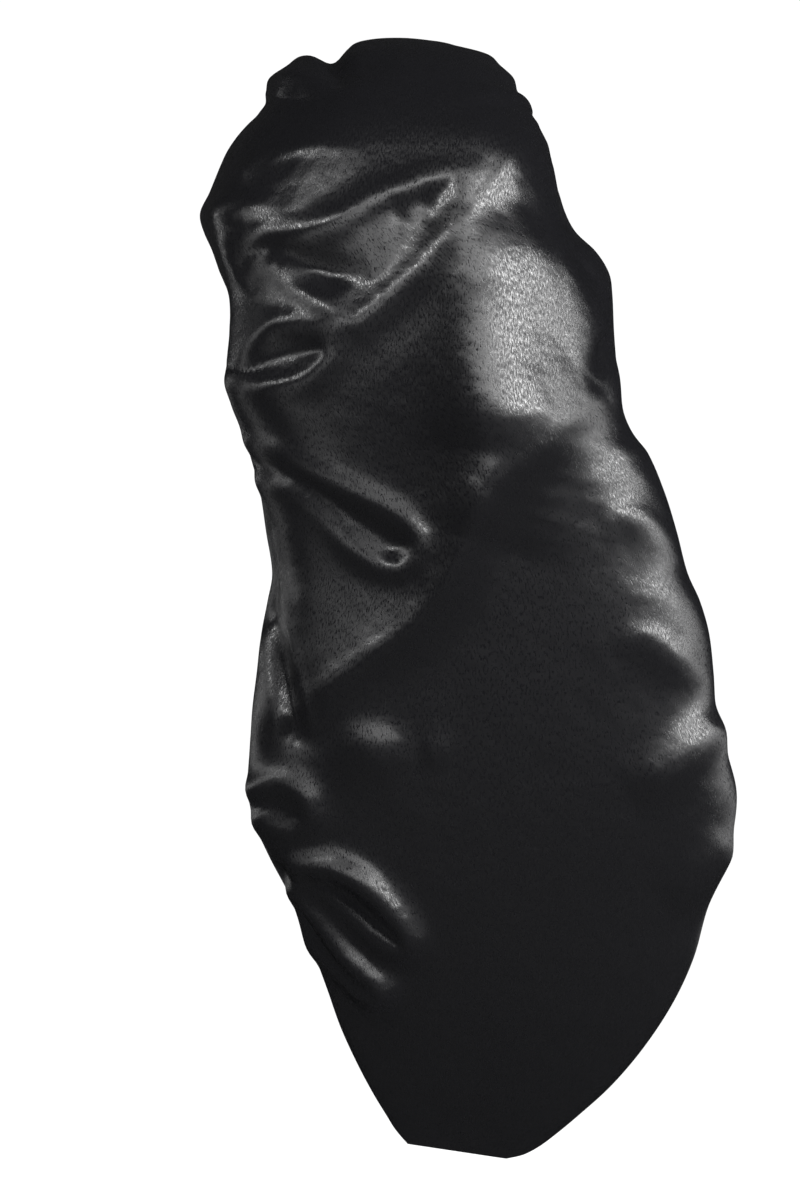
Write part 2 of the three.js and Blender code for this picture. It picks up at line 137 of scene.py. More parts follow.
FOLDS = [  # rises at even steps along a path [x, z], and the widths of the flanks above and below it
    {"name": "swag", "rises": [5, 6, 9, 13, 18, 20, 13, 0], "above": 26, "below": 20, "over": False,
     "path": [[70, -240], [46, -224], [13, -198], [-14, -174], [-33, -148], [-44, -120], [-52, -94],
        [-54, -68]]},
    {"name": "spine", "rises": [0, 11, 22, 26, 18, 13, 13, 8], "above": 28, "below": 48, "over": False,
     "path": [[-46, -124], [-54, -96], [-54, -66], [-51, -38], [-47, 22], [-46, 85], [-54, 128], [-66, 150]]},
    {"name": "yoke", "rises": [4, 8, 9, 4], "above": 50, "below": 18, "over": False,
     "path": [[-58, -94], [-76, -76], [-98, -55], [-128, -28]]},
    {"name": "shoulder", "rises": [4, 9, 6], "above": 30, "below": 62, "over": False,
     "path": [[-58, 150], [-80, 140], [-98, 120]]},
    {"name": "mid_back", "rises": [4, 7, 6, 3], "above": 60, "below": 76, "over": False,
     "path": [[70, 10], [40, 14], [8, 18], [-26, 22]]},
    {"name": "tongue", "rises": [3, 4, 4.5, 4.5, 4.5, 4.5, 4.5, 4], "above": 9, "below": 9, "over": False,
     "path": [[104, -60], [79, -68], [59, -80], [36, -93], [13, -104], [-7, -117], [-13, -131], [-1, -144],
        [17, -140], [34, -127], [53, -106], [72, -92], [93, -86]]},
    {"name": "tongue_hollow", "rises": [-2, -4, -3], "above": 12, "below": 12, "over": False,
     "path": [[92, -74], [62, -92], [34, -110], [8, -126]]},
    {"name": "nape", "rises": [4, 5, 5, 5, 4.5, 5, 5, 4, 2], "above": 9, "below": 11, "over": False,
     "path": [[106, -21], [91, -25], [72, -24], [56, -18], [43, -1], [53, 11], [76, 16], [91, 7], [102, -10]]},
    {"name": "nape_hollow", "rises": [-2, -3, -2], "above": 10, "below": 10, "over": False,
     "path": [[90, -8], [75, -3], [60, 2]]},
    {"name": "brow", "rises": [3, 4, 4, 3.5, 4.5, 5, 4.5], "above": 11, "below": 10, "over": False,
     "path": [[112, 72], [91, 74], [66, 75], [39, 84], [13, 99], [-16, 109], [-36, 110], [-33, 82], [-16, 56],
        [10, 30], [32, 15], [49, 30], [66, 43], [84, 60]]},
    {"name": "brow_hollow", "rises": [-5, -9, -6, 0], "above": 13, "below": 13, "over": False,
     "path": [[80, 58], [58, 52], [38, 50], [20, 56]]},
    {"name": "ear_crest", "rises": [3, 2.5, 0], "above": 12, "below": 8, "over": False,
     "path": [[118, 92], [100, 94], [79, 95]]},
    {"name": "crown_step", "rises": [4, 5, 2], "above": 10, "below": 14, "over": False,
     "path": [[76, 182], [78, 168], [84, 152]]},
    {"name": "crown_hollow", "rises": [-11, -9, -4], "above": 10, "below": 10, "over": True,
     "path": [[47, 208], [46, 196], [42, 184]]},
    {"name": "crown_crease", "rises": [-4, -3, 0], "above": 9, "below": 12, "over": False,
     "path": [[42, 186], [20, 190], [0, 193]]},
    {"name": "pocket", "rises": [-5, -11, -14, -9], "above": 14, "below": 6, "over": False,
     "path": [[93, -122], [88, -160], [79, -202], [70, -236], [70, -250]]},
    {"name": "pocket_lip", "rises": [1, 5, 6, 4], "above": 6, "below": 16, "over": False,
     "path": [[87, -122], [81, -164], [71, -204], [61, -240]]},
    {"name": "right_hollow", "rises": [-6, -12, -4], "above": 11, "below": 11, "over": False,
     "path": [[-112, 76], [-128, 58], [-139, 34]]},
    {"name": "right_cleft", "rises": [-2, -7, -2], "above": 8, "below": 8, "over": False,
     "path": [[-143, 16], [-134, 0], [-128, -20]]},
    {"name": "right_swag", "rises": [0, 5, 6], "above": 16, "below": 14, "over": False,
     "path": [[-152, -296], [-174, -280], [-205, -252]]},
    {"name": "right_low_swag", "rises": [0, 5, 6], "above": 16, "below": 14, "over": False,
     "path": [[-175, -366], [-190, -352], [-210, -332]]},
    {"name": "pad", "rises": [5, 6, 6, 5, 5], "above": 10, "below": 8, "over": False,
     "path": [[93, -289], [76, -285], [61, -296], [59, -309], [72, -316], [89, -309]]},
    {"name": "hip_rise", "rises": [0, 7, 1], "above": 17, "below": 22, "over": False,
     "path": [[46, -250], [20, -262], [-8, -276]]},
    {"name": "hip", "rises": [8, 11, 11, 9, 8, 8, 6], "above": 11, "below": 8, "over": False,
     "path": [[68, -339], [40, -342], [16, -358], [-5, -385], [1, -393], [20, -382], [43, -362], [62, -350]]},
    {"name": "hip_cleft", "rises": [-6, -6, -1], "above": 8, "below": 8, "over": False,
     "path": [[76, -344], [54, -360], [34, -381], [10, -410]]},
    {"name": "hem_fold", "rises": [6, 10, 12, 11, 9, 7, 4], "above": 10, "below": 8, "over": False,
     "path": [[68, -353], [49, -375], [33, -398], [13, -418], [18, -423], [36, -411], [53, -392], [63, -368]]},
    {"name": "hem_hollow", "rises": [-3, -4, 0], "above": 8, "below": 12, "over": False,
     "path": [[52, -404], [36, -425], [18, -448]]},
]

WRINKLES = [  # the finer creases between the folds, in the same columns
    {"name": "brow_dent_a", "rises": [-0.8, -1.6, -0.8], "above": 5, "below": 5, "over": False,
     "path": [[4, 92], [-1, 82], [2, 72]]},
    {"name": "brow_dent_b", "rises": [-0.5, -1.4, -0.5], "above": 5, "below": 5, "over": False,
     "path": [[-14, 98], [-20, 84], [-18, 70]]},
    {"name": "crown_fan", "rises": [2, 1.5, 0], "above": 7, "below": 5, "over": False,
     "path": [[100, 118], [78, 130], [50, 134], [20, 130]]},
    {"name": "ear_line", "rises": [1.5, 1.5, 0], "above": 5, "below": 4, "over": False,
     "path": [[112, 60], [104, 46], [92, 34], [80, 26]]},
    {"name": "hem_line", "rises": [1.5, 1, 0], "above": 6, "below": 5, "over": False,
     "path": [[46, -420], [34, -444], [22, -470], [14, -500]]},
    {"name": "bump_rim", "rises": [2.5, 4, 3], "above": 7, "below": 7, "over": False,
     "path": [[-104, 74], [-118, 72], [-134, 56], [-141, 36]]},
    {"name": "right_patch_a", "rises": [0, 2.5, 2, 0], "above": 9, "below": 14, "over": False,
     "path": [[-130, -118], [-152, -110], [-170, -122], [-184, -140]]},
    {"name": "right_patch_b", "rises": [0, 2.5, 2.5, 0], "above": 9, "below": 14, "over": False,
     "path": [[-138, -196], [-160, -190], [-182, -204], [-198, -222]]},
    {"name": "swag_line", "rises": [1, 2.4, 3, 3.2, 3.2, 3, 2.6, 1.6], "above": 9, "below": 8, "over": False,
     "path": [[-57, -86], [-48, -108], [-39, -136], [-27, -162], [-8, -183], [13, -198], [40, -217],
              [64, -235]]},
    {"name": "mid_blotch", "rises": [0, 2.5, 0], "above": 10, "below": 14, "over": False,
     "path": [[-12, -262], [-24, -262], [-36, -268]]},
]

FOLD_STEPS = 24
LEVELS = {"low": -527, "high": 203, "count": 73, "rings": 84, "spans": 48}
MOUTH_ROWS = 2.5
HEM_SLOPE = {"rise": 0.15, "about": -36, "from": 18}
GATHERS = {"count": 24, "rise": 3.2, "reach": 42, "fine": 72, "fine_rise": 1.1,
           "long": 17, "long_rise": 2.4, "long_reach": 90}
ROW_LENGTH = 30  # cloth from one ring of the table to the next, on average
CLOTH_PER_RADIAN = 150
REAR = (0, 0.4)  # how far the plain form faces backwards where the folds fade in
FOLDS_FROM = (0.5, 3)  # rings over which the folds fade in below the head opening
CLOTH = 0.8
NUDGE = 1e-3
LAST_ROW = len(SECTIONS) - 1
RINGS = 330  # even, so that the inner face can have half as many


def through(keys, values, at):
    """The value at `at` of a smooth curve through a table."""
    keys = np.asarray(keys, float)
    values = np.asarray(values, float)
    slopes = np.empty_like(values)
    slopes[1:-1] = (values[2:] - values[:-2]) / (keys[2:] - keys[:-2])
    slopes[0] = (values[1] - values[0]) / (keys[1] - keys[0])
    slopes[-1] = (values[-1] - values[-2]) / (keys[-1] - keys[-2])
    held = np.clip(at, keys[0], keys[-1])
    i = np.clip(np.searchsorted(keys, held, side="right") - 1, 0, len(keys) - 2)
    span = keys[i + 1] - keys[i]
    t = (held - keys[i]) / span
    u = 1 - t
    return (values[i] * u * u * (1 + 2 * t) + values[i + 1] * t * t * (1 + 2 * u)
            + slopes[i] * span * t * u * u - slopes[i + 1] * span * t * t * u)


def smoothstep(value, low, high):
    t = np.clip((value - low) / (high - low), 0, 1)
    return t * t * (3 - 2 * t)


def column(row, pick):
    return through(range(len(SECTIONS)), [pick(s) for s in SECTIONS], row)


def bend(value, power):
    return np.sign(value) * np.abs(value) ** power


def plain(row, turn):
    """A point of the plain form on ring `row`. `turn` is 0 at the wearer's left and a quarter turn behind."""
    share = column(row, lambda s: s["share"])
    power = 2 / column(row, lambda s: s["square"])
    reach = np.where(np.sin(turn) > 0, 1 - share, share)
    along = share + reach * bend(np.sin(turn), power)
    ends = [(column(row, lambda s: s["inner"][k]), column(row, lambda s: s["outer"][k])) for k in (0, 1)]
    x = column(row, lambda s: s["half"]) * bend(np.cos(turn), power)
    return np.stack([x] + [a + (b - a) * along for a, b in ends], axis=-1)


def plain_widths():
    """Half the width of the plain form at even heights."""
    heights = np.linspace(LEVELS["low"], LEVELS["high"], LEVELS["count"] + 1)
    row, turn = np.meshgrid(np.linspace(0, LAST_ROW, LEVELS["rings"] + 1),
                            np.linspace(0, math.pi, LEVELS["spans"] + 1), indexing="ij")
    p = plain(row, turn)
    before, after = p[:-1], p[1:]
    widths = []
    for z in heights:
        rise = after[..., 2] - before[..., 2]
        t = (z - before[..., 2]) / np.where(rise == 0, 1e-9, rise)
        x = np.abs(before[..., 0] + t * (after[..., 0] - before[..., 0]))
        widths.append(max(1.0, x[(t >= 0) & (t <= 1)].max(initial=1.0)))
    return heights, widths


PLAIN_HEIGHTS, PLAIN_WIDTHS = plain_widths()


def bag(row, turn):
    """The plain form drawn sideways to the outline, with the hem's slope."""
    p = plain(row, turn)
    z = np.minimum(p[..., 2], LEVELS["high"])
    heights = [r["z"] for r in OUTLINE]
    left = through(heights, [r["left"] for r in OUTLINE], z)
    right = through(heights, [r["right"] for r in OUTLINE], z)
    stretch = (left - right) / 2 / through(PLAIN_HEIGHTS, PLAIN_WIDTHS, z)
    hold = smoothstep(row, 0, MOUTH_ROWS)
    p[..., 0] += hold * ((left + right) / 2 + p[..., 0] * stretch - p[..., 0])
    slope = HEM_SLOPE["rise"] * smoothstep(row, HEM_SLOPE["from"], LAST_ROW)
    p[..., 2] += slope * (p[..., 0] - HEM_SLOPE["about"])
    return p


def unit(vectors):
    return vectors / np.maximum(np.linalg.norm(vectors, axis=-1, keepdims=True), 1e-12)


def outward(row, turn):
    low = np.maximum(row - NUDGE, 0)
    high = np.minimum(row + NUDGE, LAST_ROW)
    return unit(np.cross(bag(high, turn) - bag(low, turn), bag(row, turn + NUDGE) - bag(row, turn - NUDGE)))


def fold_height(fold, x, z):
    """The height that one fold adds at (x, z)."""
    path = fold["path"]
    at = np.linspace(0, len(path) - 1, FOLD_STEPS + 1)
    line = np.stack([through(range(len(path)), [p[k] for p in path], at) for k in (0, 1)], axis=-1)
    nearest = np.full(x.shape, np.inf)
    side = np.zeros(x.shape)
    along = np.zeros(x.shape)
    for i, (a, b) in enumerate(zip(line[:-1], line[1:])):
        dx, dz = b - a
        t = np.clip(((x - a[0]) * dx + (z - a[1]) * dz) / (dx * dx + dz * dz), 0, 1)
        ox, oz = x - a[0] - t * dx, z - a[1] - t * dz
        distance = np.hypot(ox, oz)
        closer = distance < nearest
        nearest = np.where(closer, distance, nearest)
        side = np.where(closer, (dz * ox - dx * oz) / math.hypot(dx, dz) / np.maximum(distance, 1e-6), side)
        along = np.where(closer, (i + t) / FOLD_STEPS, along)
    width = fold["below"] + (fold["above"] - fold["below"]) * (side + 1) / 2
    steps = np.linspace(0, 1, len(fold["rises"]))
    return through(steps, fold["rises"], along) * np.exp(-((nearest / width) ** 2))


def relief(row, turn, p, normal):
    """How far the cloth stands out from the plain form, in folds and in gathers round the head opening."""
    rear = smoothstep(normal[..., 1], *REAR)
    folds = 0
    for fold in FOLDS + WRINKLES:
        folds = folds + (1 if fold["over"] else rear) * fold_height(fold, p[..., 0], p[..., 2])
    near = np.exp(-((row * ROW_LENGTH) / GATHERS["reach"])) * np.minimum(row, 1)
    wander = 0.6 * np.sin(5 * turn + 1.1) + 0.4 * np.sin(11 * turn)
    gather = GATHERS["rise"] * np.cos(turn * GATHERS["count"])
    gather = gather + GATHERS["fine_rise"] * np.cos(turn * GATHERS["fine"] + 3 * wander)
    far = np.exp(-((row * ROW_LENGTH) / GATHERS["long_reach"])) * smoothstep(row, 0, 2)
    drape = GATHERS["long_rise"] * np.cos(turn * GATHERS["long"] + 2 * wander)
    return folds * smoothstep(row, *FOLDS_FROM) + gather * near + drape * far


def cloth_wall(name, start, end, spans, spread):
    """One panel as a closed wall of cloth. Its inner face has half the rings and spans of its outer one."""
    rings = np.linspace(0, LAST_ROW, RINGS + 1)
    row, share = np.meshgrid(rings, np.linspace(0, 1, spans + 1), indexing="ij")
    turn = start + (end - start) * share**spread
    base = bag(row, turn)
    normal = outward(row, turn)
    outside = base + normal * relief(row, turn, base, normal)[..., None]
    inside = (outside - normal * CLOTH)[::2, ::2]
    wide = spans + 1
    half_wide = spans // 2 + 1
    first = outside.shape[0] * wide
    outer = np.arange(first).reshape(-1, wide)
    inner = first + np.arange(inside.shape[0] * half_wide).reshape(-1, half_wide)

    def quads(a, b, c, d):
        return np.stack([a, b, c, d], axis=-1).reshape(-1, 4).tolist()

    faces = quads(outer[:-1, :-1], outer[1:, :-1], outer[1:, 1:], outer[:-1, 1:])
    faces += quads(inner[:-1, :-1], inner[:-1, 1:], inner[1:, 1:], inner[1:, :-1])

    def rim(outer_edge, inner_edge, turned):
        outer_points = [outer_edge[:-2:2], outer_edge[1:-1:2], outer_edge[2::2]]
        rows = np.stack([*outer_points, inner_edge[1:], inner_edge[:-1]], axis=-1)
        return (rows[:, ::-1] if turned else rows).tolist()

    faces += rim(outer[0], inner[0], False) + rim(outer[-1], inner[-1], True)
    faces += rim(outer[:, 0], inner[:, 0], True) + rim(outer[:, -1], inner[:, -1], False)
    points = np.concatenate([outside.reshape(-1, 3), inside.reshape(-1, 3)]) * MM
    mesh = bpy.data.meshes.new(name)
    mesh.from_pydata(points.tolist(), [], faces)
    # the cloth's own coordinates: across from the middle of the panel and down from the head opening
    middle = bag(rings, np.full(RINGS + 1, (start + end) / 2))
    down = np.concatenate([[0], np.cumsum(np.linalg.norm(np.diff(middle, axis=0), axis=1))])
    across = (turn - (start + end) / 2) * CLOTH_PER_RADIAN
    flat = np.stack([across, np.broadcast_to(down[:, None], across.shape)], axis=-1) * MM
    flat = np.concatenate([flat.reshape(-1, 2), flat[::2, ::2].reshape(-1, 2)])
    corners = np.empty(len(mesh.loops), int)
    mesh.loops.foreach_get("vertex_index", corners)
    mesh.uv_layers.new(name="cloth").data.foreach_set("uv", flat[corners].ravel())
    mesh.polygons.foreach_set("use_smooth", np.ones(len(mesh.polygons), bool))
    mesh.update()
    piece = bpy.data.objects.new(name, mesh)
    bpy.context.collection.objects.link(piece)
    return piece


def socket(group, name, kind, way, value=None):
    made = group.interface.new_socket(name=name, in_out=way, socket_type=kind)
    if value is not None:
        made.default_value = value


def satin_weave_group():
    """Colour, roughness and normal of satin: a fine grain of threads and the soft cockle of worn cloth."""
    group = bpy.data.node_groups.new("satin_weave", "ShaderNodeTree")
    socket(group, "Cloth", "NodeSocketVector", "INPUT")
    socket(group, "Place", "NodeSocketVector", "INPUT")
    socket(group, "Dark", "NodeSocketColor", "INPUT", (0.004, 0.004, 0.005, 1))
    socket(group, "Light", "NodeSocketColor", "INPUT", (0.012, 0.012, 0.014, 1))
    socket(group, "Gloss", "NodeSocketFloat", "INPUT", 0.4)
    socket(group, "Gloss Range", "NodeSocketFloat", "INPUT", 1.6)
    socket(group, "Grain Depth", "NodeSocketFloat", "INPUT", 0.00004)
    socket(group, "Cockle Depth", "NodeSocketFloat", "INPUT", 0.0004)
    socket(group, "Color", "NodeSocketColor", "OUTPUT")
    socket(group, "Roughness", "NodeSocketFloat", "OUTPUT")
    socket(group, "Normal", "NodeSocketVector", "OUTPUT")
    nodes, links = group.nodes, group.links
    given = nodes.new("NodeGroupInput")
    out = nodes.new("NodeGroupOutput")

    def noise(scale, detail, roughness, source):
        node = nodes.new("ShaderNodeTexNoise")
        node.inputs["Scale"].default_value = scale
        node.inputs["Detail"].default_value = detail
        node.inputs["Roughness"].default_value = roughness
        links.new(source, node.inputs["Vector"])
        return node.outputs["Fac"]

    def bump(height, distance, normal=None):
        node = nodes.new("ShaderNodeBump")
        links.new(height, node.inputs["Height"])
        links.new(distance, node.inputs["Distance"])
        if normal is not None:
            links.new(normal, node.inputs["Normal"])
        return node.outputs["Normal"]

    stretch = nodes.new("ShaderNodeMapping")
    stretch.inputs["Scale"].default_value = (1.0, 0.3, 1.0)
    links.new(given.outputs["Cloth"], stretch.inputs["Vector"])
    grain = noise(scale=900, detail=2, roughness=0.8, source=stretch.outputs["Vector"])
    cockle = noise(scale=38, detail=2, roughness=0.45, source=given.outputs["Place"])
    colour = nodes.new("ShaderNodeMix")
    colour.data_type = "RGBA"
    links.new(grain, colour.inputs["Factor"])
    links.new(given.outputs["Dark"], colour.inputs["A"])
    links.new(given.outputs["Light"], colour.inputs["B"])
    links.new(colour.outputs["Result"], out.inputs["Color"])
    around = nodes.new("ShaderNodeMath")
    around.operation = "SUBTRACT"
    around.inputs[1].default_value = 0.5
    links.new(grain, around.inputs[0])
    gloss = nodes.new("ShaderNodeMath")
    gloss.operation = "MULTIPLY_ADD"
    links.new(around.outputs[0], gloss.inputs[0])
    links.new(given.outputs["Gloss Range"], gloss.inputs[1])
    links.new(given.outputs["Gloss"], gloss.inputs[2])
    links.new(gloss.outputs[0], out.inputs["Roughness"])
    soft = bump(cockle, given.outputs["Cockle Depth"])
    links.new(bump(grain, given.outputs["Grain Depth"], soft), out.inputs["Normal"])
    return group


WEAVE = satin_weave_group()


def satin(name, gloss, dark, light, grain_depth, cockle_depth):
    """Satin: threads lie along the cloth's length, so the gloss spreads across it."""
    material = bpy.data.materials.new(name)
    material.use_nodes = True
    nodes, links = material.node_tree.nodes, material.node_tree.links
    shader = nodes["Principled BSDF"]
    coords = nodes.new("ShaderNodeTexCoord")
    weave = nodes.new("ShaderNodeGroup")
    weave.node_tree = WEAVE
    links.new(coords.outputs["UV"], weave.inputs["Cloth"])
    links.new(coords.outputs["Object"], weave.inputs["Place"])
    weave.inputs["Dark"].default_value = dark
    weave.inputs["Light"].default_value = light
    weave.inputs["Gloss"].default_value = gloss
    weave.inputs["Grain Depth"].default_value = grain_depth
    weave.inputs["Cockle Depth"].default_value = cockle_depth
    links.new(weave.outputs["Color"], shader.inputs["Base Color"])
    links.new(weave.outputs["Roughness"], shader.inputs["Roughness"])
    links.new(weave.outputs["Normal"], shader.inputs["Normal"])
    shader.inputs["Specular IOR Level"].default_value = 0.5
    shader.inputs["Anisotropic"].default_value = 0.96
    across = nodes.new("ShaderNodeTangent")
    across.direction_type = "UV_MAP"
    across.uv_map = "cloth"
    links.new(across.outputs["Tangent"], shader.inputs["Tangent"])
    return material


BLACK = {"dark": (0.003, 0.003, 0.0035, 1), "light": (0.006, 0.006, 0.007, 1)}
back_panel = cloth_wall("back_panel_satin", start=0, end=math.pi, spans=228, spread=1.2)
back_satin = satin("satin_back", gloss=0.40, **BLACK, grain_depth=0.00012, cockle_depth=0.0014)
back_panel.data.materials.append(back_satin)
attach(back_panel, "root")
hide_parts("back_panel")


# ---------------------------------------------------------------- inner panel
# The inner panel is cut from the same satin. It is gathered into the band at the nape, hangs between the
# hair and the wearer's back, and is sewn to the outer panel along both sides and across the hem.

front_panel = cloth_wall("front_panel_satin", start=math.pi, end=2 * math.pi, spans=80, spread=1)
front_satin = satin("satin_front", gloss=0.42, **BLACK, grain_depth=0.00012, cockle_depth=0.0014)
front_panel.data.materials.append(front_satin)
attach(front_panel, "root")
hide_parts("front_panel")


# ---------------------------------------------------------------- head band
# The band is a casing turned from the same satin over flat elastic 20 mm wide, with a line of stitches near
# each edge. The elastic draws it into close gathers, which are deepest between the two lines of stitches.

OPENING = {"half_width": 80, "half_length": 98, "tilt": math.radians(31)}
BAND = {"height": 24, "thickness": 4, "proud": 1.2, "gap": 0.3, "gathers": 66, "ripple": 0.9,
        "stitch_in": 3.4, "stitch_width": 1.1, "round": 0.562, "girth": 0.056}
BAND_STEPS = 1320
BAND_PROFILE = 28
FORWARD = np.array([0, -math.cos(OPENING["tilt"]), math.sin(OPENING["tilt"])])
UP = np.array([0, math.sin(OPENING["tilt"]), math.cos(OPENING["tilt"])])


def round_the_opening(turn, out, height):
    """Points at angle `turn` round the head opening, `out` of its ellipse and `height` above its plane."""
    a, b = OPENING["half_width"], OPENING["half_length"]
    n = unit(np.stack([np.cos(turn) / a, np.sin(turn) / b], axis=-1))
    x = a * np.cos(turn) + n[..., 0] * out
    f = b * np.sin(turn) + n[..., 1] * out
    flat = x[..., None] * np.array([1.0, 0, 0]) + f[..., None] * FORWARD
    return (flat + np.asarray(height)[..., None] * UP) * MM


def band_surface(turn, around):
    """The casing's face: `around` goes once round its oval section, from the top edge down the inside."""
    height = -BAND["gap"] - BAND["height"] * (0.5 - 0.5 * np.cos(around))
    side = np.sin(around)  # above zero on the inside
    oval = np.abs(side) ** 0.55 * BAND["thickness"] / 2
    out = BAND["proud"] - BAND["thickness"] / 2 - np.sign(side) * oval
    edge = BAND["stitch_in"]
    top, low = -BAND["gap"] - edge, -BAND["gap"] - BAND["height"] + edge
    width = BAND["stitch_width"]
    stitched = np.exp(-(((height - top) / width) ** 2)) + np.exp(-(((height - low) / width) ** 2))
    drift = 0.8 * np.sin(3 * turn + 0.4) + 0.5 * np.sin(8 * turn + 2.0)
    drift = drift + 0.2 * np.sin(height * 0.4 + 9 * turn)
    gather = np.cos(turn * BAND["gathers"] + drift)
    gather = gather + 0.4 * np.cos(turn * BAND["gathers"] * 1.7 + 2 * drift)
    depth = BAND["ripple"] * (1 - 0.55 * np.clip(stitched, 0, 1)) * np.abs(side) ** 0.5
    out = out - np.sign(side) * (depth * 0.6 * gather - 0.5 * stitched)
    return round_the_opening(turn, out, height)


def head_band():
    turn, around = np.meshgrid(np.linspace(0, 2 * math.pi, BAND_STEPS, endpoint=False),
                               np.linspace(0, 2 * math.pi, BAND_PROFILE, endpoint=False), indexing="ij")
    points = band_surface(turn, around).reshape(-1, 3)
    grid = np.arange(len(points)).reshape(BAND_STEPS, BAND_PROFILE)
    on, down = np.roll(grid, -1, 0), np.roll(grid, -1, 1)
    corner = np.roll(on, -1, 1)
    faces = np.stack([grid, down, corner, on], axis=-1).reshape(-1, 4)
    mesh = bpy.data.meshes.new("head_band_casing")
    mesh.from_pydata(points.tolist(), [], faces.tolist())
    i, k = np.divmod(np.arange(len(faces)), BAND_PROFILE)
    u = np.stack([i, i, i + 1, i + 1], -1) / BAND_STEPS * BAND["round"]
    v = np.stack([k, k + 1, k + 1, k], -1) / BAND_PROFILE * BAND["girth"]
    mesh.uv_layers.new(name="cloth").data.foreach_set("uv", np.stack([v, u], -1).ravel())
    mesh.polygons.foreach_set("use_smooth", np.ones(len(faces), bool))
    mesh.update()
    piece = bpy.data.objects.new("head_band_casing", mesh)
    bpy.context.collection.objects.link(piece)
    return piece


casing = head_band()
band_satin = satin("satin_band", gloss=0.42, **BLACK, grain_depth=0.0002, cockle_depth=0.0002)
casing.data.materials.append(band_satin)
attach(casing, "root")
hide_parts("head_band")


# ---------------------------------------------------------------- band stitching
# Two lines of lockstitch in black polyester thread close the casing over the elastic, one near each edge of
# the band. Each stitch is a short raised loop of thread that sinks into the cloth at both ends.

def thread_material():
    material = bpy.data.materials.new("black_thread")
    material.use_nodes = True
    nodes, links = material.node_tree.nodes, material.node_tree.links
    shader = nodes["Principled BSDF"]
    coords = nodes.new("ShaderNodeTexCoord")
    ply = nodes.new("ShaderNodeTexWave")
    ply.inputs["Scale"].default_value = 900
    ply.inputs["Distortion"].default_value = 2
    links.new(coords.outputs["Object"], ply.inputs["Vector"])
    tone = nodes.new("ShaderNodeValToRGB")
    tone.color_ramp.elements[0].color = (0.006, 0.006, 0.007, 1)
    tone.color_ramp.elements[1].color = (0.030, 0.030, 0.033, 1)
    links.new(ply.outputs["Fac"], tone.inputs["Fac"])
    links.new(tone.outputs["Color"], shader.inputs["Base Color"])
    raised = nodes.new("ShaderNodeBump")
    raised.inputs["Distance"].default_value = 0.0001
    links.new(ply.outputs["Fac"], raised.inputs["Height"])
    links.new(raised.outputs["Normal"], shader.inputs["Normal"])
    shader.inputs["Roughness"].default_value = 0.55
    return material


def stitch_tree(material):
    """Stitches spaced evenly along a mesh line, each a small capsule of thread laid along it."""
    tree = bpy.data.node_groups.new("casing_stitches", "GeometryNodeTree")
    socket(tree, "Line", "NodeSocketGeometry", "INPUT")
    socket(tree, "Pitch", "NodeSocketFloat", "INPUT", 0.0032)
    socket(tree, "Stitch Length", "NodeSocketFloat", "INPUT", 0.0024)
    socket(tree, "Thread Radius", "NodeSocketFloat", "INPUT", 0.00025)
    socket(tree, "Stitches", "NodeSocketGeometry", "OUTPUT")
    nodes, links = tree.nodes, tree.links
    given = nodes.new("NodeGroupInput")
    curve = nodes.new("GeometryNodeMeshToCurve")
    links.new(given.outputs["Line"], curve.inputs["Mesh"])
    spread = nodes.new("GeometryNodeCurveToPoints")
    spread.mode = "LENGTH"
    links.new(curve.outputs["Curve"], spread.inputs["Curve"])
    links.new(given.outputs["Pitch"], spread.inputs["Length"])
    thread = nodes.new("GeometryNodeMeshUVSphere")
    thread.inputs["Segments"].default_value = 6
    thread.inputs["Rings"].default_value = 5
    links.new(given.outputs["Thread Radius"], thread.inputs["Radius"])
    half = nodes.new("ShaderNodeMath")
    half.operation = "DIVIDE"
    links.new(given.outputs["Stitch Length"], half.inputs[0])
    links.new(given.outputs["Thread Radius"], half.inputs[1])
    halved = nodes.new("ShaderNodeMath")
    halved.operation = "MULTIPLY"
    halved.inputs[1].default_value = 0.5
    links.new(half.outputs[0], halved.inputs[0])
    shape = nodes.new("ShaderNodeCombineXYZ")
    shape.inputs["X"].default_value = 1
    shape.inputs["Y"].default_value = 1
    links.new(halved.outputs[0], shape.inputs["Z"])
    place = nodes.new("GeometryNodeInstanceOnPoints")
    links.new(spread.outputs["Points"], place.inputs["Points"])
    links.new(thread.outputs["Mesh"], place.inputs["Instance"])
    links.new(shape.outputs["Vector"], place.inputs["Scale"])
    aim = nodes.new("FunctionNodeAlignEulerToVector")
    aim.axis = "Z"
    links.new(spread.outputs["Tangent"], aim.inputs["Vector"])
    links.new(aim.outputs["Rotation"], place.inputs["Rotation"])
    real = nodes.new("GeometryNodeRealizeInstances")
    links.new(place.outputs["Instances"], real.inputs["Geometry"])
    paint = nodes.new("GeometryNodeSetMaterial")
    paint.inputs["Material"].default_value = material
    links.new(real.outputs["Geometry"], paint.inputs["Geometry"])
    out = nodes.new("NodeGroupOutput")
    links.new(paint.outputs["Geometry"], out.inputs["Stitches"])
    return tree


def set_input(modifier, name, value):
    items = modifier.node_group.interface.items_tree
    inputs = [i for i in items if i.item_type == "SOCKET" and i.in_out == "INPUT"]
    modifier[next(i.identifier for i in inputs if i.name == name)] = value


